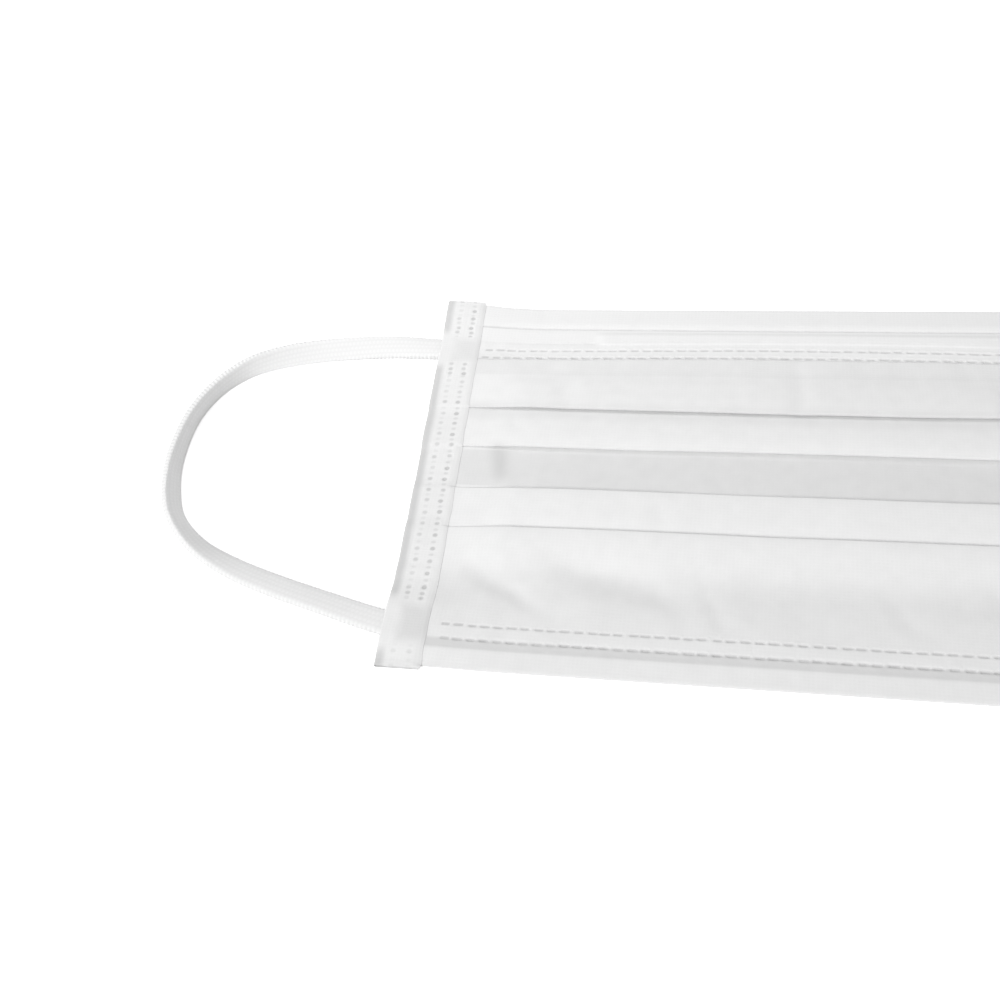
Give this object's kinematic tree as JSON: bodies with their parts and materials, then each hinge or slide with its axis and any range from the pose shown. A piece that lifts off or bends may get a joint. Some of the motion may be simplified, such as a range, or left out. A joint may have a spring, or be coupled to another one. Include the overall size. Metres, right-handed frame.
{
  "type": "surgical face mask",
  "caption": "Flat pleated disposable face mask with hemmed edges, a nose wire, bound ends and two flat elastic ear loops.",
  "frame": {"origin": "under the middle of the mask's body, on the surface it lies on", "axes": "+X along the mask's width to its right side seen from the front, +Y towards the nose edge, +Z out of the outer face"},
  "size_m": [0.2884, 0.096, 0.0084],
  "materials": {
    "nonwoven": "matt embossed non-woven",
    "tape": "matt non-woven binding tape",
    "elastic": "matt knitted elastic",
    "wire": "plastic-coated wire"
  },
  "bodies": {
    "root": {"pleated_panel": "nonwoven", "nose_hem": "nonwoven", "chin_hem": "nonwoven", "nose_wire": "wire", "side_strip_left": "tape", "side_strip_right": "tape", "ear_loop_left": "elastic", "ear_loop_right": "elastic"}
  },
  "joints": []
}
